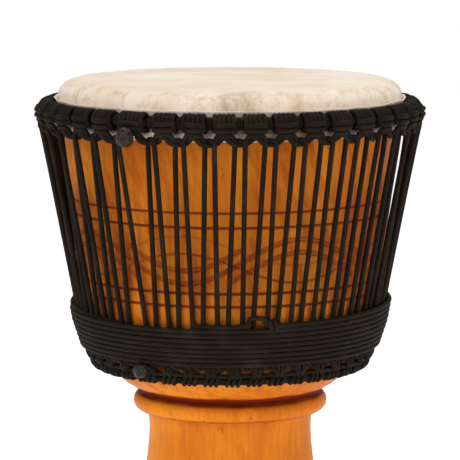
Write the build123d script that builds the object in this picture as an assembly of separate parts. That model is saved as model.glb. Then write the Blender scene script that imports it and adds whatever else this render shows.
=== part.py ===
from build123d import *
import math
import os

# A 13 inch rope-tuned djembe standing on its foot. Millimetres, +Z up, origin at the centre of the foot's
# rim, front along -Y. Heights on the drum are given as depths below the playing face.

# Driving dimensions
HEIGHT = 635.0  # floor to playing face
ROPE = 4.8  # diameter of the crown and tuning ropes
BOTTOM_ROPE = 3.7  # diameter of the bottom cradle rope, which is pulled thin
LOOPS = 40  # rope loops round each ring
RING_ROD = 3.0  # radius of the steel rings' rod
CLEARANCE = 0.1  # between pieces that lie against each other

# Wooden shell
EDGE_R = 143.5  # apex of the bearing edge
SHELL_R = 161.3  # outside of the shell, just below the rounded edge
EDGE_DROP = 11.5  # height of the edge's rounding
WALL_END = (145.0, 200.0)  # radius and depth where the side starts to curve in
BOWL_BELLY = (133.0, 243.0)
BOWL_HEEL = (107.0, 283.8)
NECK = (82.0, 300.0)  # bottom of the groove between bowl and bead
NECK_RUN = (-1.0, -0.6)  # direction of the bowl's outline where it meets the neck
BEAD = (92.8, 306.5)
BEAD_END = (79.4, 316.0)
STEM_WAIST = (78.0, 326.0)
STEM = (80.0, 364.0)
STEM_FLARE = (98.0, 500.0)
FOOT_EDGE = (123.0, 627.0)
FOOT_ROUND = 6.0  # rounding of the foot's outer edge
BORE = (
    (141.0, 10.0),
    (124.0, 210.0),
    (90.0, 270.0),
    (57.0, 303.0),
    (55.0, 335.0),
    (80.0, 520.0),
    (101.0, 635.0),
)
GROOVES = (110.3, 123.3, 184.5, 197.4)  # depths of the turned lines round the bowl
GROOVE_R = 0.9  # radius of a turned line's section

# Goatskin head
SKIN = 1.5
SKIN_WRAP = 230.0  # degrees that the skin turns round the flesh ring

# Rings: radius of the ring and depth of its centre
CROWN_RING = (172.3, 28.0)
BOTTOM_RING = (128.2, 269.0)
FLESH_RING_DEPTH = 40.0
CROWN_WRAP = 1.1  # thickness of the fabric wound on the ring
BOTTOM_WRAP = 0.5

# Cradle ropes, knotted round the crown and bottom rings
KNOT_GAP = 12.0  # degrees between the two loops on either side of a cradle rope's tied ends
CROWN_TURN = 8.9  # outer radius of a strand round the wrapped ring
BOTTOM_TURN = 7.3
CROWN_KNOT_ANGLE = 7.5
CROWN_BARS = (183.6, 25.0, 35.2)  # radius, top and bottom depth of the strands across a crown knot
BOTTOM_KNOT_ANGLE = 4.6
CROWN_FIRST = -23.8  # angle of the first crown loop from the front
BOTTOM_FIRST = -29.6
CROWN_LOOP = ((181.2, 37.6), (176.9, 47.0))  # radius and depth at the knots and at the loop's middle
BOTTOM_LOOP = ((135.9, 262.2), (138.1, 253.9))
CROWN_HALF_WIDTHS = (12.0, 6.2)  # half of a loop's width at the knots and at its middle
BOTTOM_HALF_WIDTHS = (8.7, 4.6)
CROWN_SKEW = 3.8  # how far each corner of a loop's middle is pulled out or in by the tuning rope
BOTTOM_SKEW = -2.6
LOOP_RADII = [2.6, 3.0, 3.0, 2.6]

# Tuning rope, laced between the loops
CROWN_HOOK = (176.9, 41.7)  # radius and depth where the tuning rope hangs on a crown loop
BOTTOM_HOOK = (136.6, 258.8)
HOOK = 4.0  # how far each leg stands in or out of a hook's radius
CROWN_LEG = 4.4  # half the spacing of two legs at a crown loop
BOTTOM_LEG = 3.8
LEG_TOUCH = (146.8, 213.0)  # where a leg comes down on to the bowl
LEG_BEND = (139.4, 243.0)
BEND_LIFT = 1.6  # how far an outer leg stands off the inner ones at the bend
LEG_RADII = [3.6, 60.0, 60.0, 3.6]  # bends of a leg, from its crown loop to its bottom loop
END_GAP = 0.3  # between the two ends of the laced rope

# Tail of the tuning rope, wound round the legs
TAIL_TURNS = 8
TAIL_FIRST = 215.6  # depth of the first turn's centre
HITCH_ANGLE = 9.7
HITCH_TOP = 204.4
HITCH_HALF = 7.0  # half the width of the square opening in the tail's hitch
HITCH_SPREAD = 3.0  # how far the hitch's ends lie to each side, in half widths of the opening
HITCH_RADII = [3.0, 3.0, 3.0, 3.0]
TAIL_GAP = 0.4  # between the legs and the tail wound round them

# Rope ends: radius of the lump, (radius, depth) of its centre and its angle from the front
STOPPER_KNOT = (6.4, (190.4, 41.5))
BOTTOM_ROPE_END = (4.4, (143.2, 262.5))


def z_of(depth):
    return HEIGHT - depth


def at(radius, angle, depth):
    """A point at a radius and depth, at an angle in degrees from the front towards +X."""
    turn = math.radians(angle)
    return (radius * math.sin(turn), -radius * math.cos(turn), z_of(depth))


def flat(place):
    """A (radius, depth) pair as a point of the half section."""
    return (place[0], z_of(place[1]))


def revolved(section, angle=360.0):
    return revolve(Plane.XZ * section, axis=Axis.Z, revolution_arc=angle)


def quarter_ellipse(height, width, rise):
    """The rounding over the bearing edge, from its outer end up to the edge's apex."""
    return EllipticalCenterArc((EDGE_R, height), width, rise, start_angle=0, arc_size=90)


def shell():
    """The carved shell: bowl, neck bead, stem and foot, hollow from end to end."""
    top = HEIGHT - SKIN - CLEARANCE
    edge_end = (SHELL_R, top - EDGE_DROP)
    foot_in = (FOOT_EDGE[0] - FOOT_ROUND, 0.0)
    wall_slope = (WALL_END[0] - SHELL_R, z_of(WALL_END[1]) - edge_end[1])
    edge = quarter_ellipse(top - EDGE_DROP, SHELL_R - EDGE_R, EDGE_DROP)
    wall = Line(edge_end, flat(WALL_END))
    bowl = Spline(
        flat(WALL_END),
        flat(BOWL_BELLY),
        flat(BOWL_HEEL),
        flat(NECK),
        tangents=(wall_slope, NECK_RUN),
    )
    bead = ThreePointArc(flat(NECK), flat(BEAD), flat(BEAD_END))
    stem = Spline(
        flat(BEAD_END),
        flat(STEM_WAIST),
        flat(STEM),
        flat(STEM_FLARE),
        flat(FOOT_EDGE),
    )
    foot = TangentArc(stem @ 1, foot_in, tangent=stem % 1)
    rim = Line(foot_in, flat(BORE[-1]))
    bore = Spline(*[flat(place) for place in reversed(BORE)])
    lip = Line(flat(BORE[0]), (EDGE_R, top))
    body = revolved(make_face(edge + wall + bowl + bead + stem + foot + rim + bore + lip))
    for depth in GROOVES:
        body -= Pos(0, 0, z_of(depth)) * Torus(shell_radius(depth), GROOVE_R)
    return body


def shell_radius(depth):
    """Outer radius of the shell's straight wall at a depth."""
    start = SKIN + CLEARANCE + EDGE_DROP
    along = (depth - start) / (WALL_END[1] - start)
    return SHELL_R + along * (WALL_END[0] - SHELL_R)


def flesh_ring_radius():
    return SHELL_R + CLEARANCE + SKIN + CLEARANCE + RING_ROD


def head_skin():
    """The skin: flat over the bowl, rounded over its edge, and turned up round the flesh ring."""
    inner_r = SHELL_R + CLEARANCE
    inner_z = HEIGHT - SKIN
    edge_z = inner_z - EDGE_DROP
    ring = (flesh_ring_radius(), z_of(FLESH_RING_DEPTH))
    inside = RING_ROD + CLEARANCE
    outside = inside + SKIN
    outer_edge = quarter_ellipse(edge_z, inner_r + SKIN - EDGE_R, EDGE_DROP + SKIN)
    inner_edge = quarter_ellipse(edge_z, inner_r - EDGE_R, EDGE_DROP)
    near = CenterArc(ring, inside, 180, SKIN_WRAP)
    far = CenterArc(ring, outside, 180, SKIN_WRAP)
    outline = [
        Line((0, HEIGHT), (EDGE_R, HEIGHT)),
        outer_edge,
        Line((inner_r + SKIN, edge_z), (ring[0] - inside, ring[1])),
        near,
        Line(near @ 1, far @ 1),
        far,
        Line((ring[0] - outside, ring[1]), (inner_r, edge_z)),
        inner_edge,
        Line((EDGE_R, inner_z), (0, inner_z)),
        Line((0, inner_z), (0, HEIGHT)),
    ]
    return revolved(make_face(outline))


def rod_ring(radius, depth):
    return Pos(0, 0, z_of(depth)) * Torus(radius, RING_ROD)


def ring_wrap(ring, thickness):
    """Fabric wound round a steel ring."""
    hollow = Circle(RING_ROD + thickness) - Circle(RING_ROD)
    return revolved(Pos(ring[0], z_of(ring[1])) * hollow)


def loop_angle(first, k):
    """Angle of loop k on a ring whose first loop stands just after the cradle rope's tied ends."""
    if k == LOOPS:
        return first + 360.0
    return first + k * (360.0 - KNOT_GAP) / (LOOPS - 1)


def at_loops(first, piece):
    """A copy of a piece made at the front for each loop."""
    return Compound(children=[Rot(0, 0, loop_angle(first, k)) * piece for k in range(LOOPS)])


def between_loops(first, piece):
    """A copy of a piece made at the front for each space between two loops."""
    middles = [(loop_angle(first, k) + loop_angle(first, k + 1)) / 2 for k in range(LOOPS)]
    return Compound(children=[Rot(0, 0, middle) * piece for middle in middles])


def knot(ring, turn, wrap, angle, bars=None):
    """The turns of one knot as a solid sleeve round its ring, centred on the front."""
    centre = Pos(ring[0], z_of(ring[1]))
    section = centre * Circle(turn)
    if bars:
        radius, top, bottom = bars
        section += Pos(radius - ROPE / 2, z_of((top + bottom) / 2)) * Rectangle(2 * ROPE, bottom - top)
    section -= centre * Circle(RING_ROD + wrap + CLEARANCE)
    return (Rot(0, 0, -90 - angle / 2) * revolved(section, angle)).solid()


def rope(points, radii, thickness=ROPE):
    """A round rope along straight runs joined by arcs."""
    path = FilletPolyline(*points, radius=radii)
    section = Plane(origin=path @ 0, z_dir=path % 0) * Circle(thickness / 2)
    return sweep(section, path=path)


def loop(places, half_widths, skew, thickness):
    """One loop of cradle rope between two knots, skewed where the tuning rope passes through it."""
    (end_r, end_depth), (middle_r, middle_depth) = places
    half_pitch = loop_angle(0.0, 1) / 2
    reach = math.degrees(half_widths[0] / end_r)
    corner = math.degrees(half_widths[1] / middle_r)
    points = [
        at(end_r, -half_pitch, end_depth),
        at(end_r, -reach, end_depth),
        at(middle_r + skew, -corner, middle_depth),
        at(middle_r - skew, corner, middle_depth),
        at(end_r, reach, end_depth),
        at(end_r, half_pitch, end_depth),
    ]
    return rope(points, LOOP_RADII, thickness).solid()


def leg(crown_angle, bottom_angle, side):
    """Points of one leg from a crown loop down to a bottom loop; side is 1 outside the loops, -1 inside."""
    crown_r, crown_depth = CROWN_HOOK
    bottom_r, bottom_depth = BOTTOM_HOOK
    points = [at(crown_r + side * HOOK, crown_angle, crown_depth)]
    lift = BEND_LIFT if side > 0 else 0.0
    for (radius, depth), stand_off in ((LEG_TOUCH, 0.0), (LEG_BEND, lift)):
        share = (depth - crown_depth) / (bottom_depth - crown_depth)
        angle = crown_angle + share * (bottom_angle - crown_angle)
        points.append(at(radius + stand_off, angle, depth))
    points.append(at(bottom_r + side * HOOK, bottom_angle, bottom_depth))
    return points


def tuning_rope():
    """The rope laced up and down between the crown and bottom loops, with both ends under the tail."""
    crown_half = math.degrees(CROWN_LEG / CROWN_HOOK[0])
    bottom_half = math.degrees(BOTTOM_LEG / BOTTOM_HOOK[0])
    points = []
    for k in range(LOOPS):
        bottom = loop_angle(BOTTOM_FIRST, k + 1)
        points += leg(loop_angle(CROWN_FIRST, k) + crown_half, bottom - bottom_half, 1)
        points += reversed(leg(loop_angle(CROWN_FIRST, k + 1) - crown_half, bottom + bottom_half, -1))
    first = Vector(*points[1])
    run = Vector(*points[2]) - first
    start = first + 0.5 * run
    end = start - END_GAP * run.normalized()
    path = [start] + points[2:] + points[:2] + [end]
    radii = LEG_RADII * (2 * LOOPS)
    return rope(path, radii[2:] + radii[:2])


def tail_radius(depth):
    """Radius of the tail's centre line where it lies on the outer legs."""
    bends = (LEG_TOUCH, (LEG_BEND[0] + BEND_LIFT, LEG_BEND[1]), (BOTTOM_HOOK[0] + HOOK, BOTTOM_HOOK[1]))
    upper = 0 if depth < LEG_BEND[1] else 1
    (top_r, top_depth), (end_r, end_depth) = bends[upper : upper + 2]
    leg_r = top_r + (end_r - top_r) * (depth - top_depth) / (end_depth - top_depth)
    return leg_r + ROPE + TAIL_GAP


def tail_wrap():
    """The tail's turns side by side, as one closed sleeve with a ridge for each turn."""
    section = Sketch()
    for turn in range(TAIL_TURNS):
        depth = TAIL_FIRST + turn * ROPE
        section += Pos(tail_radius(depth), z_of(depth)) * Circle(ROPE / 2 + CLEARANCE)
    return revolved(section)


def tail_hitch():
    """The short loop of tail that ties off over the top turns."""
    half = math.degrees(HITCH_HALF / tail_radius(HITCH_TOP))
    head_r = tail_radius(HITCH_TOP)
    bottom = TAIL_FIRST - ROPE - 2 * CLEARANCE
    points = [
        at(head_r, HITCH_ANGLE - HITCH_SPREAD * half, bottom),
        at(head_r, HITCH_ANGLE - half, bottom),
        at(head_r, HITCH_ANGLE - half, HITCH_TOP),
        at(head_r, HITCH_ANGLE + half, HITCH_TOP),
        at(head_r, HITCH_ANGLE + half, bottom),
        at(head_r, HITCH_ANGLE + HITCH_SPREAD * half, bottom),
    ]
    return rope(points, HITCH_RADII)


def lump(radius, place, angle):
    """A rounded knot or melted rope end."""
    return Pos(*at(place[0], angle, place[1])) * Sphere(radius)


def main():
    crown_knot = knot(CROWN_RING, CROWN_TURN, CROWN_WRAP, CROWN_KNOT_ANGLE, CROWN_BARS)
    bottom_knot = knot(BOTTOM_RING, BOTTOM_TURN, BOTTOM_WRAP, BOTTOM_KNOT_ANGLE)
    crown_loop = loop(CROWN_LOOP, CROWN_HALF_WIDTHS, CROWN_SKEW, ROPE)
    bottom_loop = loop(BOTTOM_LOOP, BOTTOM_HALF_WIDTHS, BOTTOM_SKEW, BOTTOM_ROPE)
    nodes = {
        "shell": shell(),
        "head_skin": head_skin(),
        "flesh_ring": rod_ring(flesh_ring_radius(), FLESH_RING_DEPTH),
        "crown_ring": rod_ring(*CROWN_RING),
        "crown_ring_wrap": ring_wrap(CROWN_RING, CROWN_WRAP),
        "crown_rope_knots": between_loops(CROWN_FIRST, crown_knot),
        "crown_rope_loops": at_loops(CROWN_FIRST, crown_loop),
        "crown_rope_stopper": lump(*STOPPER_KNOT, CROWN_FIRST - KNOT_GAP / 2),
        "bottom_ring": rod_ring(*BOTTOM_RING),
        "bottom_ring_wrap": ring_wrap(BOTTOM_RING, BOTTOM_WRAP),
        "bottom_rope_knots": between_loops(BOTTOM_FIRST, bottom_knot),
        "bottom_rope_loops": at_loops(BOTTOM_FIRST, bottom_loop),
        "bottom_rope_end": lump(*BOTTOM_ROPE_END, BOTTOM_FIRST - KNOT_GAP / 2),
        "tuning_rope": tuning_rope(),
        "tuning_rope_tail": tail_wrap(),
        "tuning_rope_hitch": tail_hitch(),
    }
    os.makedirs("parts", exist_ok=True)
    for name, solid in nodes.items():
        export_step(solid, f"parts/{name}.step")


main()
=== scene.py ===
import math
import random

import bpy
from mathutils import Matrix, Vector, noise
from mathutils.bvhtree import BVHTree


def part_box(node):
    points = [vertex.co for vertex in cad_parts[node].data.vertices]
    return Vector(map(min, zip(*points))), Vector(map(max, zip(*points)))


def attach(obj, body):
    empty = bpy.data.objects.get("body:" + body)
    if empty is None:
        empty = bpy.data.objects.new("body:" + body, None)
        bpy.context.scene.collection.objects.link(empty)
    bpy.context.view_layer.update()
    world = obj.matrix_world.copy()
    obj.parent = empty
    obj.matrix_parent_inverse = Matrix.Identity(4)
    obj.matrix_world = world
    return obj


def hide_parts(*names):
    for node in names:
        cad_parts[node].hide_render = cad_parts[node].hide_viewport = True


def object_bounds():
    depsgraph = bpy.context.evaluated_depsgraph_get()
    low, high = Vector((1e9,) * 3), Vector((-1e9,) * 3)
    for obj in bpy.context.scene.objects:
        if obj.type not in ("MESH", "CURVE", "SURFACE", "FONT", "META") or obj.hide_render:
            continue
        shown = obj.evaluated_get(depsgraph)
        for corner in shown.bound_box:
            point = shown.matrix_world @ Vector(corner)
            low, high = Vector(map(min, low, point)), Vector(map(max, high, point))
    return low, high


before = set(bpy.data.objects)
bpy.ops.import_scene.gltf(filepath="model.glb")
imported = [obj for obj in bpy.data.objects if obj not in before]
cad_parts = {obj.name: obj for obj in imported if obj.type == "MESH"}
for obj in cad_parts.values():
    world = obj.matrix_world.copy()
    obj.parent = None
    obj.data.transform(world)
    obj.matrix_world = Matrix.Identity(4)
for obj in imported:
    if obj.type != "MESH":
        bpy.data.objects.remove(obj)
CAD_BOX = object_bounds()

# A rope-tuned djembe. Sizes are in millimetres and angles in degrees from the front towards +X.
# Depths are measured down from the playing face. at() turns them into Blender's metres.
MM = 0.001
TOP = CAD_BOX[1].z / MM


def at(radius, angle, depth):
    """A point in Blender's metres."""
    turn = math.radians(angle)
    return Vector((radius * math.sin(turn), -radius * math.cos(turn), TOP - depth)) * MM


def ring_of(node):
    """Radius, depth and rod radius of one of the frame's rings."""
    low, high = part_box(node)
    rod = (high.z - low.z) / 2
    return (high.x - rod) / MM, TOP - (high.z + low.z) / 2 / MM, rod / MM


CROWN_R, CROWN_DEPTH, _ = ring_of("crown_ring_wrap")
BOTTOM_R, BOTTOM_DEPTH, _ = ring_of("bottom_ring_wrap")
FLESH_R, FLESH_DEPTH, FLESH_ROD = ring_of("flesh_ring")

# Rope
ROPE = 4.8
CROWN_HOOK = (176.9, 41.9)  # radius and depth where the tuning rope hangs on a crown loop
BOTTOM_HOOK = (136.0, 255.8)
CROWN_STAND = 4.0  # how far each leg stands in or out of its loop's radius
BOTTOM_STAND = 2.6
CROWN_LEG = 4.4  # half the spacing of two legs at a crown loop
BOTTOM_LEG = 3.8
BOTTOM_LEG_R = 136.6  # radius at which that spacing is measured
BOWL_TOUCH = (146.8, 213.0)  # radius and depth where a leg comes down on to the bowl
KNOT_HALF = 2.75  # half of a crown knot's cross strands, in degrees
LAST_KNOT_HALF = 3.7  # the same where the rope's ends are tied
LOOPS = 40
KNOT_GAP = 12.0  # degrees between the loops on either side of a cradle rope's tied ends
PITCH = (360.0 - KNOT_GAP) / (LOOPS - 1)
CROWN_FIRST = -23.8
BOTTOM_FIRST = -29.6

# Shell
SHELL_SIDES = 392
BORE_ROWS = 46
CARVED_END = 210.0  # depth below which the bowl is plain
GROOVE_DEPTHS = (110.3, 123.9, 184.9, 197.2)
WAVE_DEPTH = 156.0
WAVE_HEIGHT = 20.2
WAVE_GAP = 12.2  # between the two lines of each bend
WAVES = 4
WAVE_CREST = 25.0
WAVE_DRIFT = 0.317  # how far the hand-cut waves stray from even spacing, in radians
FAINT_DEPTH = 162.0
FAINT_HEIGHT = 13.8
FAINT_GAP = 16.0
STEM_TOP = 0.33  # metres up, where the bowl's slanted figure fades out
SLANT = (0.0, math.radians(-24.0), 0.0)  # lean of the wood's figure
NECK_DARK_BAND = (290.5, 302.5)
BEAD_FOOT = 316.0

STRAY_LEGS = {9: 0.7, 10: -1.3}  # degrees that a rising leg leans out of line

# Tail of the tuning rope
TAIL_LOW = 251.4  # depth of the lowest turn's centre at the front
TAIL_PITCH = 4.65  # from turn to turn at the front
TAIL_STEPS = 90  # points in each turn
HITCH_DEPTH = 215.0

# Skin
SKIN = 1.5  # thickness
EDGE_R = 143.5  # apex of the bearing edge
EDGE_DROP = 13.0  # height of the rounding over the edge
SKIN_SIDES = 288
FAR_STREAK = 112.0  # radius of a faint brown streak across the back
PUCKERS = 14.0  # how many times the skin's gathers repeat, as a radius in noise space

rng = random.Random(7)


# Meshes

def new_object(name, points, faces, smooth=True):
    mesh = bpy.data.meshes.new(name)
    mesh.from_pydata(points, [], faces)
    mesh.update()
    if smooth:
        mesh.shade_smooth()
    piece = bpy.data.objects.new(name, mesh)
    bpy.context.scene.collection.objects.link(piece)
    return piece


def finished(piece, node, material):
    """Takes the place of a CAD node."""
    piece.data.materials.append(material)
    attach(piece, "root")
    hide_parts(node)
    return piece


def smooth_line(points, steps, closed=False):
    """A quadratic B-spline through the middles of the runs between the points."""
    count = len(points)
    line = [] if closed else [points[0]]
    for i in range(0 if closed else 1, count if closed else count - 1):
        before, here, after = points[i - 1], points[i], points[(i + 1) % count]
        start = (before + here) / 2
        end = (here + after) / 2
        for step in range(steps):
            t = step / steps
            line.append(start * (1 - t) ** 2 + here * 2 * t * (1 - t) + end * t * t)
    return line if closed else line + [points[-1]]


def tube(line, radius, sides, points, faces, braid, closed=False):
    """Adds a round tube along a line. braid gets a pair for each face corner: share of the way
    round, and length along the rope in diameters."""
    first = len(points)
    count = len(line)
    across = None
    length = 0.0
    lengths = []
    for i, here in enumerate(line):
        after = line[(i + 1) % count] if closed or i + 1 < count else here
        before = line[i - 1] if closed or i > 0 else here
        ahead = (after - before).normalized()
        if across is None:
            across = ahead.orthogonal()
        across = (across - ahead * across.dot(ahead)).normalized()
        up = ahead.cross(across)
        if i > 0:
            length += (here - line[i - 1]).length
        lengths.append(length / (2 * radius * MM))
        for side in range(sides):
            turn = 2 * math.pi * side / sides
            points.append(here + (across * math.cos(turn) + up * math.sin(turn)) * radius * MM)
    lengths.append(length / (2 * radius * MM) + 0.5)
    for i in range(count if closed else count - 1):
        low = first + i * sides
        high = first + (i + 1) % count * sides
        for side in range(sides):
            other = (side + 1) % sides
            faces.append((low + side, low + other, high + other, high + side))
            left = side / sides
            right = (side + 1) / sides
            braid += [(left, lengths[i]), (right, lengths[i])]
            braid += [(right, lengths[i + 1]), (left, lengths[i + 1])]
    if not closed:
        for start, order in ((first, -1), (first + (count - 1) * sides, 1)):
            faces.append(tuple(range(start, start + sides))[::order])
            braid += [(0.0, 0.0)] * sides


def rope_piece(name, lines, radius, sides, closed=False):
    """One piece from several lines of rope, with the braid's place in its UV map."""
    points = []
    faces = []
    braid = []
    for line in lines:
        tube(line, radius, sides, points, faces, braid, closed)
    return with_braid(new_object(name, points, faces), braid)


def with_braid(piece, braid):
    layer = piece.data.uv_layers.new(name="braid")
    layer.data.foreach_set("uv", [value for pair in braid for value in pair])
    return piece


def joined(name, pieces):
    """Several pieces as one, with the first one's place in the scene."""
    with bpy.context.temp_override(active_object=pieces[0], selected_editable_objects=pieces):
        bpy.ops.object.join()
    pieces[0].name = name
    pieces[0].data.name = name
    return pieces[0]


# Materials

class Shading:
    """A material's node tree, with short calls for what the materials share."""

    def __init__(self, name, rough, **settings):
        self.material = bpy.data.materials.new(name)
        self.material.use_nodes = True
        self.tree = self.material.node_tree
        self.shader = self.tree.nodes["Principled BSDF"]
        self.shader.inputs["Roughness"].default_value = rough
        for socket, value in settings.items():
            self.shader.inputs[socket.replace("_", " ")].default_value = value
        self.place = self.tree.nodes.new("ShaderNodeTexCoord").outputs["Object"]

    def node(self, kind, inputs, **settings):
        made = self.tree.nodes.new("ShaderNode" + kind)
        for key, value in settings.items():
            setattr(made, key, value)
        for key, value in inputs.items():
            if isinstance(value, bpy.types.NodeSocket):
                self.tree.links.new(value, made.inputs[key])
            else:
                made.inputs[key].default_value = value
        return made

    def stretched(self, scale):
        return self.node("Mapping", {"Vector": self.place, "Scale": scale}).outputs[0]

    def noise(self, scale, detail=4.0, place=None, rough=0.6):
        inputs = {"Vector": place or self.place, "Scale": scale, "Detail": detail, "Roughness": rough}
        return self.node("TexNoise", inputs).outputs["Fac"]

    def span(self, value, low, high, to_low=0.0, to_high=1.0):
        inputs = {"Value": value, "From Min": low, "From Max": high, "To Min": to_low, "To Max": to_high}
        return self.node("MapRange", inputs).outputs["Result"]

    def math(self, kind, a, b=0.0):
        return self.node("Math", {0: a, 1: b}, operation=kind).outputs[0]

    def mix(self, share, a, b, blend="MIX"):
        inputs = {0: share, 6: a, 7: b}
        return self.node("Mix", inputs, data_type="RGBA", blend_type=blend).outputs[2]

    def attribute(self, name):
        return self.node("Attribute", {}, attribute_name=name).outputs["Fac"]

    def bump(self, height, strength, distance, under=None):
        inputs = {"Height": height, "Strength": strength, "Distance": distance}
        if under:
            inputs["Normal"] = under
        return self.node("Bump", inputs).outputs["Normal"]

    def finish(self, colour, normal=None, rough=None):
        self.tree.links.new(colour, self.shader.inputs["Base Color"])
        if normal:
            self.tree.links.new(normal, self.shader.inputs["Normal"])
        if rough:
            self.tree.links.new(rough, self.shader.inputs["Roughness"])
        return self.material


def rgb(red, green, blue):
    return (red, green, blue, 1.0)


def wood_material():
    """Honey-stained hardwood with a dull varnish, burnt carving and a raw bore."""
    s = Shading("varnished_wood", 0.46, IOR=1.14)
    grain_place = s.stretched((1.0, 1.0, 0.045))
    fibres = s.noise(330.0, 6.0, grain_place, 0.7)
    lean = {"Vector": s.place, "Rotation": SLANT, "Scale": (1.0, 1.0, 6.0)}
    slanted = s.node("Mapping", lean, vector_type="TEXTURE").outputs[0]
    figure = s.noise(75.0, 5.0, slanted, 0.65)
    patches = s.noise(11.0, 3.0, s.stretched((1.0, 1.0, 0.5)))
    colour = s.mix(s.span(patches, 0.36, 0.64), rgb(0.57, 0.140, 0.009), rgb(0.79, 0.258, 0.018))
    height = s.node("SeparateXYZ", {"Vector": s.place}).outputs["Z"]
    strength = s.span(height, STEM_TOP - 0.01, STEM_TOP + 0.05, 0.25, 1.0)
    figured = s.math("MULTIPLY", strength, s.span(figure, 0.48, 0.64, 0.0, 0.72))
    colour = s.mix(figured, colour, rgb(0.40, 0.070, 0.006))
    colour = s.mix(s.span(fibres, 0.52, 0.74, 0.0, 0.45), colour, rgb(0.36, 0.062, 0.006))
    colour = s.mix(s.span(fibres, 0.46, 0.28, 0.0, 0.25), colour, rgb(0.88, 0.33, 0.04))
    flecks = s.noise(120.0, 2.0, s.stretched((1.0, 1.0, 0.55)))
    colour = s.mix(s.span(flecks, 0.70, 0.78, 0.0, 0.5), colour, rgb(0.24, 0.045, 0.006))
    # Darker in the neck's groove; painted shade below the bead, under the bottom ring and over the bowl's
    # sides and back.
    colour = s.mix(s.attribute("groove_dark_and_painted_shade"), colour, rgb(0.165, 0.016, 0.004))
    colour = s.mix(s.attribute("cut"), colour, rgb(0.36, 0.060, 0.008))
    colour = s.mix(s.attribute("burn"), colour, rgb(0.15, 0.020, 0.003))
    raw = s.mix(s.span(figure, 0.35, 0.65), rgb(0.42, 0.22, 0.09), rgb(0.30, 0.14, 0.05))
    colour = s.mix(s.attribute("raw"), colour, raw)
    tool = s.noise(60.0, 3.0, s.stretched((1.0, 1.0, 0.3)))
    normal = s.bump(tool, 0.25, 0.0015)
    normal = s.bump(fibres, 0.22, 0.0004, normal)
    rough = s.span(s.attribute("raw"), 0.0, 1.0, 0.46, 0.8)
    return s.finish(colour, normal, rough)


def skin_material():
    """Shaved goatskin: cream, clouded, with darker hair follicles down its side."""
    s = Shading("goatskin", 0.62, Specular_IOR_Level=0.25)
    clouds = s.noise(14.0, 5.0)
    mottling = s.noise(85.0, 6.0, s.stretched((1.0, 1.0, 0.6)), 0.75)
    follicles = s.node("TexVoronoi", {"Vector": s.place, "Scale": 620.0}).outputs["Distance"]
    groups = s.noise(34.0, 4.0)
    side = s.attribute("side")
    colour = s.mix(s.span(clouds, 0.36, 0.64), rgb(0.89, 0.79, 0.665), rgb(0.79, 0.665, 0.515))
    colour = s.mix(s.span(mottling, 0.56, 0.74, 0.0, 0.35), colour, rgb(0.66, 0.51, 0.35))
    marks = s.span(mottling, 0.47, 0.66, 0.0, 0.62)
    colour = s.mix(s.math("MULTIPLY", side, marks), colour, rgb(0.58, 0.39, 0.235))
    dots = s.math("MULTIPLY", s.span(follicles, 0.30, 0.16), s.span(groups, 0.46, 0.62, 0.0, 0.7))
    dots = s.math("MULTIPLY", dots, s.span(side, 0.0, 1.0, 0.25, 1.0))
    colour = s.mix(dots, colour, rgb(0.40, 0.26, 0.15))
    ragged = s.span(mottling, 0.38, 0.62, 0.35, 1.0)
    colour = s.mix(s.math("MULTIPLY", s.attribute("dark_patch_and_painted_shade"), ragged), colour, rgb(0.35, 0.25, 0.16))
    # Tan stains, plus painted shade on the skin's fold under the crown ring.
    colour = s.mix(s.math("MULTIPLY", s.attribute("tan_stain_and_painted_fold_shade"), ragged), colour, rgb(0.52, 0.26, 0.080))
    normal = s.bump(mottling, 0.25, 0.0006)
    normal = s.bump(follicles, 0.12, 0.0003, normal)
    return s.finish(colour, normal, s.span(clouds, 0.3, 0.7, 0.55, 0.72))


def rope_material():
    """Black polyester rope with a diamond braid, painted shade in the braid's hollows, lighter strand tops,
    and dusty patches.
    """
    s = Shading("braided_rope", 0.68, Specular_IOR_Level=0.10)
    uv = s.node("UVMap", {}, uv_map="braid").outputs["UV"]
    parts = s.node("SeparateXYZ", {"Vector": uv})
    round_way = s.math("MULTIPLY", parts.outputs["X"], 8.0)
    along = s.math("MULTIPLY", parts.outputs["Y"], 3.2)
    heights = []
    for kind in ("ADD", "SUBTRACT"):
        strand = s.math("FRACT", s.math(kind, round_way, along))
        heights.append(s.math("PINGPONG", strand, 0.5))
    over = s.math("MAXIMUM", *heights)
    under = s.math("MINIMUM", *heights)
    height = s.math("ADD", over, s.math("MULTIPLY", under, 0.8))
    fuzz = s.noise(900.0, 3.0)
    worn = s.noise(38.0, 4.0)
    # Painted shade: darker in the braid's hollows, lighter on the strands' tops.
    colour = s.mix(s.span(height, 0.35, 0.85), rgb(0.0060, 0.0037, 0.0020), rgb(0.0235, 0.0155, 0.0085))
    colour = s.mix(s.span(worn, 0.50, 0.72, 0.0, 0.5), colour, rgb(0.034, 0.0245, 0.0150))
    colour = s.mix(s.span(fuzz, 0.62, 0.78, 0.0, 0.3), colour, rgb(0.048, 0.038, 0.027))
    normal = s.bump(height, 0.55, 0.0006)
    normal = s.bump(fuzz, 0.20, 0.0002, normal)
    return s.finish(colour, normal, s.span(height, 0.3, 0.9, 0.80, 0.62))


def cloth_material():
    """Black cotton strip, with its weave and faded patches."""
    s = Shading("wound_cotton", 0.9, Specular_IOR_Level=0.06)
    weave = s.noise(1400.0, 2.0)
    faded = s.noise(90.0, 4.0)
    colour = s.mix(s.span(weave, 0.4, 0.6), rgb(0.006, 0.005, 0.004), rgb(0.018, 0.015, 0.012))
    colour = s.mix(s.span(faded, 0.55, 0.7, 0.0, 0.5), colour, rgb(0.036, 0.030, 0.023))
    return s.finish(colour, s.bump(weave, 0.5, 0.0003))


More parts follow.
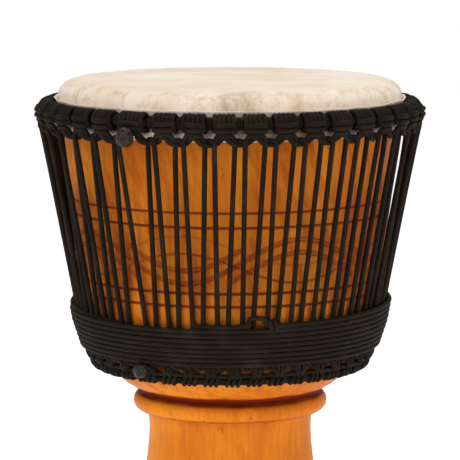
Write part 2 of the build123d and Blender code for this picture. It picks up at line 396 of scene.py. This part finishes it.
def melted_material():
    """Rope melted to a hard end with a dull gloss."""
    s = Shading("melted_rope", 0.42, Specular_IOR_Level=0.14, Coat_Weight=0.03, Coat_Roughness=0.2)
    lumps = s.noise(420.0, 3.0)
    colour = s.mix(s.span(lumps, 0.42, 0.62), rgb(0.010, 0.0075, 0.0050), rgb(0.036, 0.028, 0.020))
    return s.finish(colour, s.bump(lumps, 0.6, 0.0008), s.span(lumps, 0.35, 0.7, 0.26, 0.5))


def steel_material():
    """Plain steel rod with light surface rust."""
    s = Shading("steel_rod", 0.38, Metallic=1.0)
    rust = s.noise(120.0, 5.0)
    colour = s.mix(s.span(rust, 0.55, 0.70), rgb(0.50, 0.50, 0.51), rgb(0.24, 0.11, 0.05))
    return s.finish(colour, s.bump(rust, 0.2, 0.0003), s.span(rust, 0.45, 0.7, 0.32, 0.75))


# Shell

def shell_depths():
    """Rows of the shell's outside, closer together where it is carved or turned."""
    rows = []
    steps = ((1.7, 14.0, 1.8), (14.0, 107.0, 9.0), (107.0, 201.0, 0.95), (201.0, 280.0, 6.0))
    steps += ((280.0, 320.0, 1.2), (320.0, 626.0, 14.0), (626.0, 634.6, 1.2))
    for low, high, step in steps:
        count = max(1, round((high - low) / step))
        rows += [low + (high - low) * i / count for i in range(count)]
    return rows + [634.6]


def wave_phase(angle):
    """How far along the main wave an angle is, in radians from its crest."""
    turn = math.radians(angle)
    crest = math.radians(WAVE_CREST)
    return WAVES * (turn - crest) + WAVE_DRIFT * (math.sin(turn) - math.sin(crest))


def wave_lines(angle):
    """Depth, half width and strength of each carved wave line at an angle. The main line has a second
    one inside each of its bends. The fainter wave between its crests is a pair of thin lines."""
    swing = math.cos(wave_phase(angle))
    main = WAVE_DEPTH - WAVE_HEIGHT * swing
    faint = FAINT_DEPTH + FAINT_HEIGHT * swing
    lines = [(main, 2.3, 1.0), (faint, 1.3, 0.7), (faint - FAINT_GAP, 1.1, 0.3)]
    if swing < 0.0:
        lines.append((main - WAVE_GAP, 2.3, 1.0))
    if swing > -0.3:
        lines.append((main + WAVE_GAP, 2.2, 0.9))
    return lines


def bump_shape(offset, half_width):
    """1 at the middle of a line, falling to 0 at its edge."""
    share = abs(offset) / half_width
    return max(0.0, 1.0 - share * share)


def carving(angle, depth, lines):
    """Depth of cut, and shares of cut and burnt colour, at a point on the outside."""
    cut = 0.0
    tint = 0.0
    burn = 0.0
    for groove in GROOVE_DEPTHS:
        burn = max(burn, 0.95 * min(1.0, 1.5 * bump_shape(depth - groove, 1.5)))
    uneven = 0.85 + 0.4 * noise.noise(Vector((angle / 9.0, depth / 30.0, 0.0)))
    for middle, width, strength in lines:
        shape = bump_shape(depth - middle, width)
        cut = max(cut, 0.8 * strength * min(1.0, 2.2 * shape))
        tint = max(tint, strength * min(1.0, 2.5 * shape) * 0.9 * uneven)
        if width > 2.0:
            burn = max(burn, 0.9 * bump_shape(abs(depth - middle) - width + 0.5, 0.95) * uneven)
        else:
            burn = max(burn, strength * shape * uneven)
    return cut, min(1.0, tint), min(1.0, burn)


def make_shell(material):
    """The carved log: its outline comes from the CAD shell, and the waves are cut into it."""
    tree = BVHTree.FromObject(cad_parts["shell"], bpy.context.evaluated_depsgraph_get())
    outside = []
    for depth in shell_depths():
        hit = tree.ray_cast(at(400.0, 0.4, depth), Vector((0, 1, 0)))[0]
        outside.append((Vector((hit.x, hit.y)).length / MM, depth, 1.0))
    inside = []
    foot = 634.4
    mouth = 2.2
    for i in range(BORE_ROWS):
        depth = foot - (foot - mouth) * i / (BORE_ROWS - 1)
        hit = tree.ray_cast(at(0.0, 0.0, depth), Vector((0.01, -1, 0)).normalized())[0]
        inside.append((Vector((hit.x, hit.y)).length / MM, depth, 0.0))
    rows = outside + inside
    angles = [360.0 * i / SHELL_SIDES for i in range(SHELL_SIDES)]
    angles = [angle - 360.0 if angle > 180.0 else angle for angle in angles]
    lines = [wave_lines(angle) for angle in angles]
    points = []
    attributes = {"cut": [], "burn": [], "groove_dark_and_painted_shade": [], "raw": []}
    for radius, depth, outer in rows:
        carved = outer and depth < CARVED_END
        for angle, waves in zip(angles, lines):
            cut, tint, burn = carving(angle, depth, waves) if carved else (0.0, 0.0, 0.0)
            wobble = 0.25 * noise.noise(at(radius, angle, depth) / (70 * MM)) if outer else 0.0
            points.append(at(radius - cut + wobble, angle, depth))
            attributes["cut"].append(tint)
            attributes["burn"].append(burn)
            attributes["groove_dark_and_painted_shade"].append(dark_patch_and_painted_shade(angle, depth) if outer else 0.0)
            attributes["raw"].append(1.0 - outer)
    faces = []
    count = len(rows)
    for row in range(count):
        low = row * SHELL_SIDES
        high = (row + 1) % count * SHELL_SIDES
        for side in range(SHELL_SIDES):
            other = (side + 1) % SHELL_SIDES
            faces.append((low + side, high + side, high + other, low + other))
    piece = new_object("carved_shell", points, faces)
    for name, values in attributes.items():
        piece.data.attributes.new(name, "FLOAT", "POINT").data.foreach_set("value", values)
    return finished(piece, "shell", material)


def dark_patch_and_painted_shade(angle, depth):
    """Darker band in the groove of the neck; painted shade in the corner below the bead, under the bottom
    ring, and in a cloud over the bowl's sides and back."""
    # A darker band in the groove of the neck.
    start, end = NECK_DARK_BAND
    edge = 1.2 * noise.noise(Vector((angle / 12.0, depth / 8.0, 3.0)))
    entering = min(1.0, max(0.0, (depth - start + edge) / 2.0))
    leaving = min(1.0, max(0.0, (end - depth + edge) / 2.5))
    # Painted shade in the corner below the bead.
    corner = 0.55 * bump_shape(depth - BEAD_FOOT, 2.2)
    # Painted shade over the bowl's sides and back, deepening away from the front.
    cloudy = 0.75 + 0.9 * noise.noise(Vector((angle / 7.0, depth / 45.0, 9.0)))
    sideways = min(1.0, max(0.0, (abs(angle) - 24.0) / 30.0))
    cloud = 0.8 * sideways * bump_shape(depth - 160.0, 75.0) * cloudy
    # Painted shade under the bottom ring.
    shade = 0.16 * bump_shape(depth - 276.0, 16.0)
    return min(1.0, max(entering * leaving, corner, cloud, shade))


# Skin

def skin_outline():
    """Radius and depth along the skin's outer face: flat, over the edge, down, round the flesh ring,
    and up again inside the crown ring to a trimmed lip."""
    wall = FLESH_R - FLESH_ROD - 0.1
    turn = FLESH_ROD + 0.1
    outer = [(EDGE_R * math.sqrt(i / 26), 0.0) for i in range(1, 27)]
    for i in range(1, 15):
        angle = math.radians(90 * i / 14)
        outer.append((EDGE_R + (wall - EDGE_R) * math.sin(angle), EDGE_DROP * (1 - math.cos(angle))))
    outer += [(wall, EDGE_DROP + (FLESH_DEPTH - EDGE_DROP) * i / 8) for i in range(1, 9)]
    fold = [math.radians(180 + 265 * i / 20) for i in range(1, 21)]
    outer += [(FLESH_R + turn * math.cos(a), FLESH_DEPTH - turn * math.sin(a)) for a in fold]
    outer += [(wall + 1.7, 34.6), (wall + 0.1, 31.5), (wall + 0.1, 24.0), (wall + 0.4, 20.0)]
    outer += [(wall + 2.0, 17.6), (wall + 3.6, 16.2)]
    turn += SKIN
    inner = [(wall + 4.2, 16.8), (wall + 3.0, 18.6), (wall + 1.4, 21.0), (wall + 1.0, 24.0)]
    inner += [(wall + 1.0, 31.2), (wall + 2.3, 33.8)]
    inner += [(FLESH_R + turn * math.cos(a), FLESH_DEPTH - turn * math.sin(a)) for a in reversed(fold)]
    inner += [(wall - SKIN, FLESH_DEPTH + (EDGE_DROP - FLESH_DEPTH) * i / 8) for i in range(0, 9)]
    for i in range(13, 0, -1):
        angle = math.radians(90 * i / 14)
        rise = (EDGE_DROP - SKIN) * (1 - math.cos(angle))
        inner.append((EDGE_R + (wall - SKIN - EDGE_R) * math.sin(angle), SKIN + rise))
    inner += [(EDGE_R * math.sqrt(i / 12), SKIN) for i in range(12, 0, -1)]
    return outer, inner


def blotch(angle, radius, middle, half, inner):
    """1 inside a soft-edged patch of the skin, which fades out within the given radius."""
    ragged = 0.6 * noise.noise(Vector((angle / 3.0, radius / 5.0, middle)))
    across = (angle - middle) / half
    share = 1.5 - 1.5 * across * across + ragged
    return max(0.0, min(1.0, share)) * min(1.0, max(0.0, (radius - inner) / 6.0))


def make_skin(material):
    """The head: one sheet of goatskin, shrunk over the bearing edge and folded round the flesh ring."""
    outer, inner = skin_outline()
    rows = outer + inner
    points = []
    side_share = []
    dark = []
    tan = []
    for radius, depth in rows:
        lip = depth < 22.0 and radius > FLESH_R - FLESH_ROD
        for i in range(SKIN_SIDES):
            angle = 360.0 * i / SKIN_SIDES
            angle -= 360.0 if angle > 180.0 else 0.0
            down = min(1.0, max(0.0, (depth - 4.0) / 8.0))
            turn = math.radians(angle)
            spot = Vector((math.sin(turn) * PUCKERS, math.cos(turn) * PUCKERS, depth / 30))
            pucker = 0.28 * down * noise.noise(spot)
            uneven = 0.9 * noise.noise(spot * 0.8) if lip else 0.0
            points.append(at(radius + pucker, angle, depth + uneven))
            side_share.append(0.0 if lip else min(1.0, max(0.0, (radius - 142.0) / 14.0)))
            dark.append(0.38 * blotch(angle, radius, 3.0, 8.0, 143.0) if depth < 30.0 else 0.0)
            stained = 0.42 * blotch(angle, radius, 21.5, 3.2, 150.0)
            stained = max(stained, 0.24 * blotch(angle, radius, -41.0, 6.0, 150.0))
            streak = 0.3 * bump_shape(radius - FAR_STREAK, 26.0) * max(0.0, -math.cos(turn)) ** 3
            # Stains and a streak, plus painted shade on the fold past depth 40.8, under the crown ring.
            tan.append(min(1.0, stained + streak + max(0.0, depth - 40.8)))
    faces = []
    for row in range(len(rows) - 1):
        low = row * SKIN_SIDES
        high = (row + 1) * SKIN_SIDES
        for side in range(SKIN_SIDES):
            other = (side + 1) % SKIN_SIDES
            faces.append((low + side, high + side, high + other, low + other))
    points += [at(0, 0, 0.0), at(0, 0, SKIN)]
    last = (len(rows) - 1) * SKIN_SIDES
    for side in range(SKIN_SIDES):
        other = (side + 1) % SKIN_SIDES
        faces.append((len(points) - 2, side, other))
        faces.append((len(points) - 1, last + other, last + side))
    piece = new_object("goatskin_head", points, faces)
    for name, values in (("side", side_share), ("dark_patch_and_painted_shade", dark), ("tan_stain_and_painted_fold_shade", tan)):
        attribute = piece.data.attributes.new(name, "FLOAT", "POINT")
        attribute.data.foreach_set("value", values + [0.0, 0.0])
    finished(piece, "head_skin", material)


# Rings

def make_ring_wrap(node, ring, material):
    """A strip of cotton wound round a steel ring, each turn lapping the last, as a closed sleeve."""
    sides = 14
    steps = 720
    laps = 150
    radius, depth, core = ring_of(node)
    rod = ring_of(ring)[2]
    points = []
    faces = []
    for inside in (False, True):
        base = len(points)
        for i in range(steps):
            angle = 360.0 * i / steps
            here = base + i * sides
            after = base + (i + 1) % steps * sides
            for side in range(sides):
                around = 2 * math.pi * side / sides
                lap = (laps * i / steps + side / sides) % 1.0
                size = rod + 0.1 if inside else core - 0.25 + 0.3 * lap
                points.append(at(radius + size * math.cos(around), angle, depth + size * math.sin(around)))
                other = (side + 1) % sides
                face = (here + side, here + other, after + other, after + side)
                faces.append(face[::-1] if inside else face)
    return finished(new_object(node + "_cloth", points, faces), node, material)


# Cradle ropes

def loop_angle(first, k):
    """Angle of loop k, where the cradle rope's ends are tied between the last and the first."""
    return first + 360.0 if k == LOOPS else first + k * PITCH


def ring_turn(ring_r, ring_depth, turn, angle, lean):
    """One strand's turn round a ring."""
    line = []
    for i in range(16):
        around = 2 * math.pi * i / 16
        slide = lean * math.sin(around)
        line.append(at(ring_r + turn * math.cos(around), angle + slide, ring_depth + turn * math.sin(around)))
    return line


def knot_turns(ring, turn, first, count, spacing, lean):
    """The strands that turn round a ring, in a group between each two loops."""
    ring_r, ring_depth = ring
    lines = []
    degree = math.degrees(spacing / (ring_r + turn))
    for k in range(LOOPS):
        middle = (loop_angle(first, k) + loop_angle(first, k + 1)) / 2
        strands = count + 1 if k == LOOPS - 1 else count
        for i in range(strands):
            angle = middle + (i - (strands - 1) / 2) * degree + rng.uniform(-0.08, 0.08)
            lines.append(ring_turn(ring_r, ring_depth, turn + rng.uniform(-0.2, 0.2), angle, lean))
    return lines


def bar(radius, depth, middle, half, tuck, tilt):
    """A strand across the front of a knot, with its ends tucked in behind."""
    inwards = ((-1.04, tuck), (-1.0, 0.45 * tuck), (-0.80, 0.04 * tuck), (0.0, -0.4))
    inwards += tuple((-share, depth_in) for share, depth_in in inwards[2::-1])
    line = [at(radius - inset, middle + half * share, depth + tilt * share) for share, inset in inwards]
    return smooth_line(line, 5)


def cradle_loops(first, knot_place, middle_place, half_widths, skew):
    """The cradle rope's run from knot to knot, dipping to a loop at each."""
    line = []
    reach = math.degrees(half_widths[0] / knot_place[0])
    corner = math.degrees(half_widths[1] / middle_place[0])
    for k in range(LOOPS):
        angle = loop_angle(first, k) + rng.uniform(-0.12, 0.12)
        dip = middle_place[1] + rng.uniform(-0.3, 0.3)
        line.append(at(knot_place[0], angle - reach, knot_place[1]))
        line.append(at(middle_place[0] + skew, angle - corner, dip))
        line.append(at(middle_place[0] - skew, angle + corner, dip))
        line.append(at(knot_place[0], angle + reach, knot_place[1]))
    return smooth_line(line, 4)


def make_crown(rope):
    """Each knot is five strands round the ring, two bars across them, and one strand that arches
    between two loops. Thin turns of rope close the gaps between the knots."""
    ring = (CROWN_R + 1.0, CROWN_DEPTH - 1.0)
    knots = knot_turns(ring, 7.2, CROWN_FIRST, 5, 4.35, 0.25)
    turns = rope_piece("crown_turns", knots, 2.35, 10, closed=True)
    gaps = []
    bars = []
    arches = []
    for k in range(LOOPS):
        for slide in (-0.4, 0.4):
            gaps.append(ring_turn(CROWN_R, CROWN_DEPTH - 0.9, 5.0, loop_angle(CROWN_FIRST, k) + slide, 0.2))
        middle = (loop_angle(CROWN_FIRST, k) + loop_angle(CROWN_FIRST, k + 1)) / 2
        half = LAST_KNOT_HALF if k == LOOPS - 1 else KNOT_HALF
        for depth in (27.7, 32.7):
            tilt = rng.uniform(-0.5, 0.5)
            bars.append(bar(183.5, depth + rng.uniform(-0.3, 0.3), middle, half, 8.5, tilt))
        arches.append(crown_arch(middle, half / KNOT_HALF))
    parts = [turns, rope_piece("crown_spacers", gaps, 1.2, 8, closed=True)]
    parts += [rope_piece("crown_bars", bars, 2.45, 10), rope_piece("crown_arches", arches, 2.3, 10)]
    finished(joined("crown_knots", parts), "crown_rope_knots", rope)
    line = cradle_loops(CROWN_FIRST, (180.6, 39.0), (176.9, 45.6), (12.2, 6.8), 3.8)
    finished(rope_piece("crown_loops", [line], 2.4, 12), "crown_rope_loops", rope)


def crown_arch(middle, wide):
    """The inner strand of a knot: over the top between two loops, and down beside each of them."""
    places = ((176.6, 10.3, 45.0), (178.8, 8.4, 41.2), (180.4, 7.0, 38.0))
    places += ((181.6, 5.6, 37.1), (182.0, 0.0, 37.0))
    half = [(radius, math.degrees(across / radius) * wide, depth) for radius, across, depth in places]
    other = [(radius, -angle, depth) for radius, angle, depth in half[3::-1]]
    return smooth_line([at(radius, middle + angle, depth) for radius, angle, depth in half + other], 5)


def make_bottom(rope):
    """Each knot is two slanted strands round the ring, with one strand lying along the ring and two
    rising to the next loops."""
    knots = knot_turns((BOTTOM_R, BOTTOM_DEPTH - 1.0), 4.6, BOTTOM_FIRST, 3, 5.2, -0.7)
    turns = rope_piece("bottom_turns", knots, 1.95, 10, closed=True)
    ring = []
    for i in range(LOOPS * 8):
        angle = 360.0 * i / (LOOPS * 8)
        wander = noise.noise(Vector((math.cos(math.radians(angle)), math.sin(math.radians(angle)), 0)) * 9)
        ring.append(at(133.8 + 0.5 * wander, angle, 262.9 + 0.6 * wander))
    band = rope_piece("bottom_band", [ring], 2.0, 10, closed=True)
    rising = []
    for k in range(LOOPS):
        middle = (loop_angle(BOTTOM_FIRST, k) + loop_angle(BOTTOM_FIRST, k + 1)) / 2
        spread = 2.2 if k == LOOPS - 1 else 0.95
        places = [(134.6, -spread, 264.6), (137.6, -spread, 259.0), (137.4, -spread, 251.0)]
        places += [(137.4, spread, 251.0), (137.6, spread, 259.0), (134.6, spread, 264.6)]
        rising.append(smooth_line([at(r, middle + angle, depth) for r, angle, depth in places], 5))
    risers = rope_piece("bottom_risers", rising, 2.0, 10)
    finished(joined("bottom_knots", [turns, band, risers]), "bottom_rope_knots", rope)
    loops = cradle_loops(BOTTOM_FIRST, (135.9, 261.6), (135.5, 251.4), (6.9, 5.2), -1.6)
    tied = BOTTOM_FIRST - KNOT_GAP / 2
    curl = [(136.0, 5.2, 264.0), (140.4, 4.8, 258.6), (143.0, 3.0, 256.6), (144.5, 1.4, 259.8)]
    curl = smooth_line([at(radius, tied + angle, depth) for radius, angle, depth in curl], 6)
    finished(rope_piece("bottom_loops", [loops, curl], 2.1, 12), "bottom_rope_loops", rope)


def lump(name, node, material, sizes, shift, ridges):
    """A rope end, melted or knotted into a lump, with ridges round it where its strands end."""
    low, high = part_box(node)
    middle = (low + high) / 2
    outward = Vector((middle.x, middle.y, 0)).normalized()
    sideways = Vector((-outward.y, outward.x, 0))
    middle = middle + sideways * shift[0] * MM + Vector((0, 0, shift[1] * MM))
    rows = 22
    sides = 48
    points = []
    faces = []
    for row in range(rows + 1):
        polar = math.pi * row / rows
        for side in range(sides):
            around = 2 * math.pi * side / sides
            flat = math.sin(polar)
            direction = Vector((flat * math.cos(around), flat * math.sin(around), math.cos(polar)))
            squarish = max(abs(direction.x), abs(direction.y), abs(direction.z)) ** -0.3
            ridge = 0.05 * math.sin(ridges * around) * flat
            size = squarish * 0.93 * (1 + ridge + 0.08 * noise.noise(direction * 2.3)) * MM
            offset = sideways * direction.x * sizes[0] + outward * direction.y * sizes[1]
            points.append(middle + (offset + Vector((0, 0, direction.z * sizes[2]))) * size)
    for row in range(rows):
        for side in range(sides):
            low_row = row * sides
            high_row = low_row + sides
            other = (side + 1) % sides
            faces.append((low_row + side, low_row + other, high_row + other, high_row + side))
    return finished(new_object(name, points, faces), node, material)


# Tuning rope

def leg_points(crown_angle, bottom_angle, side):
    """One leg from its crown loop to its bottom loop. Side is 1 outside the loops, -1 inside."""
    top = (CROWN_HOOK[0] + CROWN_STAND * side, CROWN_HOOK[1])
    low = (BOTTOM_HOOK[0] + BOTTOM_STAND * side, BOTTOM_HOOK[1])
    places = [top, (176.2 + 2.2 * side, 48.5), BOWL_TOUCH, (144.5, 229.0), (140.2, 243.0)]
    places += [(137.6 + 1.6 * side, 251.0), low]
    line = []
    for radius, depth in places:
        share = (depth - top[1]) / (low[1] - top[1])
        line.append(at(radius, crown_angle + share * (bottom_angle - crown_angle), depth))
    return line


def make_tuning_rope(rope):
    """One rope, laced down and up between the crown's loops and the bottom's."""
    line = []
    crown_half = math.degrees(CROWN_LEG / CROWN_HOOK[0])
    bottom_half = math.degrees(BOTTOM_LEG / BOTTOM_LEG_R)
    for k in range(LOOPS):
        bottom = loop_angle(BOTTOM_FIRST, k + 1)
        slips = [rng.uniform(-0.12, 0.12) for _ in range(2)]
        down = loop_angle(CROWN_FIRST, k) + crown_half + slips[0]
        up = loop_angle(CROWN_FIRST, k + 1) - crown_half + slips[1] + STRAY_LEGS.get(k, 0.0)
        line += leg_points(down, bottom - bottom_half, 1)
        line += leg_points(up, bottom + bottom_half, -1)[::-1]
    lacing = rope_piece("tuning_rope_lacing", [smooth_line(line, 5, closed=True)], ROPE / 2, 12, True)
    finished(lacing, "tuning_rope", rope)


def tail_radius(depth):
    """Radius of the tail's centre line. It lies on the legs, which bend in towards the bottom ring."""
    upper = 151.6 - 0.177 * (depth - 216.0)
    lower = 149.3 - 0.328 * (depth - 229.0)
    return min(upper, lower)


def tail_point(turns, inset=0.0):
    """A point of the tail's centre line, that many turns after it passes the front lowest down."""
    turn = 2 * math.pi * turns
    pitch = TAIL_PITCH + 0.24 * (1 - math.cos(turn)) + 0.10 * max(0.0, math.sin(turn))
    depth = TAIL_LOW - pitch * max(0.0, turns) + 0.25 * noise.noise(Vector((turns * 7.0, 0.0, 1.0)))
    depth += 0.8 * inset
    uneven = 0.25 * noise.noise(Vector((turns * 9.0, 4.0, 0.0)))
    return at(tail_radius(depth) + uneven - inset, 360.0 * turns, depth)


def tail_run(start, end, start_inset, end_inset, fade):
    """The tail's line between two turns. Its ends are tucked in, and come out over a share of a turn."""
    steps = round((end - start) * TAIL_STEPS)
    line = []
    for i in range(steps + 1):
        turns = start + (end - start) * i / steps
        inset = start_inset * max(0.0, 1.0 - (turns - start) / fade)
        inset += end_inset * max(0.0, 1.0 - (end - turns) / fade)
        line.append(tail_point(turns, inset))
    return line


def make_tail(rope):
    """The end of the tuning rope, wound round the legs, then hitched over itself at the front."""
    main = tail_run(-0.44, 7.88, 4.0, 5.0, 0.16)
    after = tail_run(8.045, 8.5, 1.5, 5.0, 0.12)
    turns = rope_piece("tuning_rope_tail_turns", [main, after], 2.38, 12)
    finished(turns, "tuning_rope_tail", rope)
    r = tail_radius(HITCH_DEPTH)
    places = [(r - 4.5, -13.0, 215.5), (r - 1.0, -7.0, 214.8), (r + 0.6, -1.0, 214.6), (r + 1.0, 4.4, 213.9)]
    places += [(r + 1.4, 6.3, 211.5), (r + 1.4, 6.6, 206.4), (r + 1.4, 9.3, 206.2), (r + 1.4, 12.0, 206.6)]
    places += [(r + 1.2, 12.2, 211.5), (r + 0.8, 13.4, 214.3), (r, 17.0, 213.9), (r - 0.8, 20.0, 213.6)]
    over = smooth_line([at(radius, angle, depth) for radius, angle, depth in places], 8)
    wraps = [smooth_line(ring_turn(r + 0.6, 212.6, 3.4, angle, 0.35), 3, True) for angle in (13.9, 15.6)]
    hitch = rope_piece("tuning_rope_hitch_knot", [over], 2.3, 12)
    wrapped = rope_piece("hitch_wraps", wraps, 2.2, 12, closed=True)
    finished(joined("tuning_rope_hitch_knot", [hitch, wrapped]), "tuning_rope_hitch", rope)


# Studio

def make_studio():
    """A white room with three softboxes. The room lights the drum less than it shines to the camera."""
    glow = {"Emission_Color": rgb(1, 1, 1), "Emission_Strength": 0.56}
    s = Shading("studio_paper", 0.9, Specular_IOR_Level=0.1, **glow)
    fibres = s.noise(30.0, 3.0)
    material = s.finish(s.mix(fibres, rgb(0.94, 0.94, 0.94), rgb(0.97, 0.97, 0.97)))
    reach = 40.0
    corners = [(-reach, -reach, 0), (reach, -reach, 0), (reach, reach, 0), (-reach, reach, 0)]
    floor = new_object("floor", corners, [(0, 1, 2, 3)], smooth=False)
    floor.data.materials.append(material)
    world = bpy.data.worlds.new("studio")
    world.use_nodes = True
    nodes = world.node_tree.nodes
    path = nodes.new("ShaderNodeLightPath")
    dimmed = nodes.new("ShaderNodeMapRange")
    dimmed.inputs["To Min"].default_value = 0.47
    dimmed.inputs["To Max"].default_value = 1.0
    world.node_tree.links.new(path.outputs["Is Camera Ray"], dimmed.inputs["Value"])
    world.node_tree.links.new(dimmed.outputs["Result"], nodes["Background"].inputs["Strength"])
    nodes["Background"].inputs["Color"].default_value = rgb(1.0, 1.0, 1.0)
    bpy.context.scene.world = world
    bpy.context.scene.view_settings.view_transform = "Standard"
    softbox("key", (-1.5, -2.2, 1.9), 1.3, 26.0)
    softbox("fill", (1.9, -1.8, 1.2), 1.5, 15.0)
    softbox("top", (0.2, 0.7, 2.3), 1.4, 18.0)


def softbox(name, place, size, power):
    lamp = bpy.data.lights.new(name, "AREA")
    lamp.shape = "SQUARE"
    lamp.size = size
    lamp.energy = power
    light = bpy.data.objects.new(name, lamp)
    light.location = place
    aim = Vector((0, 0, 0.42)) - Vector(place)
    light.rotation_euler = aim.to_track_quat("-Z", "Y").to_euler()
    bpy.context.scene.collection.objects.link(light)


def make_camera():
    data = bpy.data.cameras.new("camera")
    data.sensor_width = 36.0
    data.lens = 229.0
    data.clip_end = 200.0
    camera = bpy.data.objects.new("camera", data)
    camera.location = (0.0, -2.775, TOP * MM + 0.222)
    camera.rotation_euler = (math.radians(90.0 - 7.54), 0.0, 0.0)
    bpy.context.scene.collection.objects.link(camera)
    bpy.context.scene.camera = camera


make_camera()
make_studio()
rope = rope_material()
cloth = cloth_material()
melted = melted_material()
steel = steel_material()
make_shell(wood_material())
make_skin(skin_material())
make_ring_wrap("crown_ring_wrap", "crown_ring", cloth)
make_ring_wrap("bottom_ring_wrap", "bottom_ring", cloth)
for node in ("crown_ring", "bottom_ring", "flesh_ring"):
    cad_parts[node].data.materials.clear()
    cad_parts[node].data.materials.append(steel)
make_crown(rope)
make_bottom(rope)
lump("crown_stopper", "crown_rope_stopper", melted, (8.2, 6.6, 9.4), (0.2, 1.6), 13)
lump("bottom_melted_end", "bottom_rope_end", melted, (7.6, 6.0, 7.6), (1.2, 2.0), 5)
make_tuning_rope(rope)
make_tail(rope)
